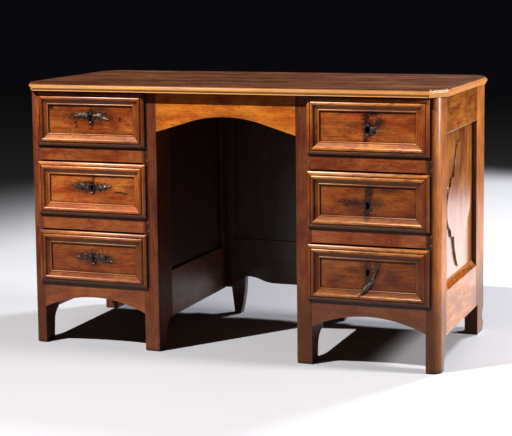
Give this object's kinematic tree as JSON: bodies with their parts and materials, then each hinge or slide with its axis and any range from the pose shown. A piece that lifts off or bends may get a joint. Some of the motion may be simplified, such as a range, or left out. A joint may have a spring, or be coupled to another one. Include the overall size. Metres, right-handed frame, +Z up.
{
  "type": "kneehole pedestal desk",
  "caption": "Walnut pedestal desk with a moulded top, an arched apron over the knee space, locked drawers in both pedestals, shaped aprons and panelled sides.",
  "frame": {"origin": "on the floor under the centre of the top", "axes": "+X to the right along the front, +Y to the back, +Z up; the drawers open towards -Y"},
  "size_m": [1.26, 0.603, 0.77],
  "materials": {
    "carcass_walnut": "old waxed walnut, reddish brown",
    "top_walnut": "old waxed walnut with long grain and worn edges",
    "drawer_walnut": "waxed walnut, polished bright on the mouldings",
    "panel_walnut": "waxed walnut panel",
    "inner_wood": "dry unfinished oak and pine",
    "plate_brass": "thin worn brass plate",
    "plate_iron": "thin dark iron plate",
    "lock_iron": "dark forged iron"
  },
  "bodies": {
    "carcass": {"top": "top_walnut", "left_outer_front_post": "carcass_walnut", "left_inner_front_post": "carcass_walnut", "left_outer_rear_post": "carcass_walnut", "left_inner_rear_post": "carcass_walnut", "left_front_rails": "carcass_walnut", "left_front_apron": "carcass_walnut", "left_outer_lower_rail": "carcass_walnut", "left_outer_upper_rail": "carcass_walnut", "left_outer_panel": "panel_walnut", "left_knee_side_rails": "carcass_walnut", "left_knee_side_panel": "panel_walnut", "left_back_board": "inner_wood", "left_drawer_runners": "inner_wood", "right_outer_front_post": "carcass_walnut", "right_inner_front_post": "carcass_walnut", "right_outer_rear_post": "carcass_walnut", "right_inner_rear_post": "carcass_walnut", "right_front_rails": "carcass_walnut", "right_front_apron": "carcass_walnut", "right_outer_lower_rail": "carcass_walnut", "right_outer_upper_rail": "carcass_walnut", "right_outer_panel": "panel_walnut", "right_knee_side_rails": "carcass_walnut", "right_knee_side_panel": "panel_walnut", "right_back_board": "inner_wood", "right_drawer_runners": "inner_wood", "kneehole_apron": "carcass_walnut", "kneehole_back_frame": "carcass_walnut", "kneehole_back_panel": "panel_walnut"},
    "left_bottom_drawer": {"left_bottom_drawer_front": "drawer_walnut", "left_bottom_drawer_box": "inner_wood", "left_bottom_drawer_lock": "lock_iron", "left_bottom_drawer_escutcheon": "plate_brass"},
    "left_bottom_drawer_bolt": {"left_bottom_drawer_bolt": "lock_iron"},
    "left_middle_drawer": {"left_middle_drawer_front": "drawer_walnut", "left_middle_drawer_box": "inner_wood", "left_middle_drawer_lock": "lock_iron", "left_middle_drawer_escutcheon": "plate_brass"},
    "left_middle_drawer_bolt": {"left_middle_drawer_bolt": "lock_iron"},
    "left_top_drawer": {"left_top_drawer_front": "drawer_walnut", "left_top_drawer_box": "inner_wood", "left_top_drawer_lock": "lock_iron", "left_top_drawer_escutcheon": "plate_brass"},
    "left_top_drawer_bolt": {"left_top_drawer_bolt": "lock_iron"},
    "right_bottom_drawer": {"right_bottom_drawer_front": "drawer_walnut", "right_bottom_drawer_box": "inner_wood", "right_bottom_drawer_lock": "lock_iron", "right_bottom_drawer_escutcheon": "plate_iron"},
    "right_bottom_drawer_bolt": {"right_bottom_drawer_bolt": "lock_iron"},
    "right_middle_drawer": {"right_middle_drawer_front": "drawer_walnut", "right_middle_drawer_box": "inner_wood", "right_middle_drawer_lock": "lock_iron", "right_middle_drawer_escutcheon": "plate_iron"},
    "right_middle_drawer_bolt": {"right_middle_drawer_bolt": "lock_iron"},
    "right_top_drawer": {"right_top_drawer_front": "drawer_walnut", "right_top_drawer_box": "inner_wood", "right_top_drawer_lock": "lock_iron", "right_top_drawer_escutcheon": "plate_iron"},
    "right_top_drawer_bolt": {"right_top_drawer_bolt": "lock_iron"}
  },
  "joints": [
    {"name": "left_bottom_drawer_slide", "type": "slide", "parent": "carcass", "child": "left_bottom_drawer", "axis": [0, -1, 0], "range_m": [0, 0.36]},
    {"name": "left_bottom_drawer_bolt_slide", "type": "slide", "parent": "left_bottom_drawer", "child": "left_bottom_drawer_bolt", "axis": [0, 0, 1], "range_m": [0, 0.012]},
    {"name": "left_middle_drawer_slide", "type": "slide", "parent": "carcass", "child": "left_middle_drawer", "axis": [0, -1, 0], "range_m": [0, 0.36]},
    {"name": "left_middle_drawer_bolt_slide", "type": "slide", "parent": "left_middle_drawer", "child": "left_middle_drawer_bolt", "axis": [0, 0, 1], "range_m": [0, 0.012]},
    {"name": "left_top_drawer_slide", "type": "slide", "parent": "carcass", "child": "left_top_drawer", "axis": [0, -1, 0], "range_m": [0, 0.36]},
    {"name": "left_top_drawer_bolt_slide", "type": "slide", "parent": "left_top_drawer", "child": "left_top_drawer_bolt", "axis": [0, 0, 1], "range_m": [0, 0.012]},
    {"name": "right_bottom_drawer_slide", "type": "slide", "parent": "carcass", "child": "right_bottom_drawer", "axis": [0, -1, 0], "range_m": [0, 0.36]},
    {"name": "right_bottom_drawer_bolt_slide", "type": "slide", "parent": "right_bottom_drawer", "child": "right_bottom_drawer_bolt", "axis": [0, 0, 1], "range_m": [0, 0.012]},
    {"name": "right_middle_drawer_slide", "type": "slide", "parent": "carcass", "child": "right_middle_drawer", "axis": [0, -1, 0], "range_m": [0, 0.36]},
    {"name": "right_middle_drawer_bolt_slide", "type": "slide", "parent": "right_middle_drawer", "child": "right_middle_drawer_bolt", "axis": [0, 0, 1], "range_m": [0, 0.012]},
    {"name": "right_top_drawer_slide", "type": "slide", "parent": "carcass", "child": "right_top_drawer", "axis": [0, -1, 0], "range_m": [0, 0.36]},
    {"name": "right_top_drawer_bolt_slide", "type": "slide", "parent": "right_top_drawer", "child": "right_top_drawer_bolt", "axis": [0, 0, 1], "range_m": [0, 0.012]}
  ]
}
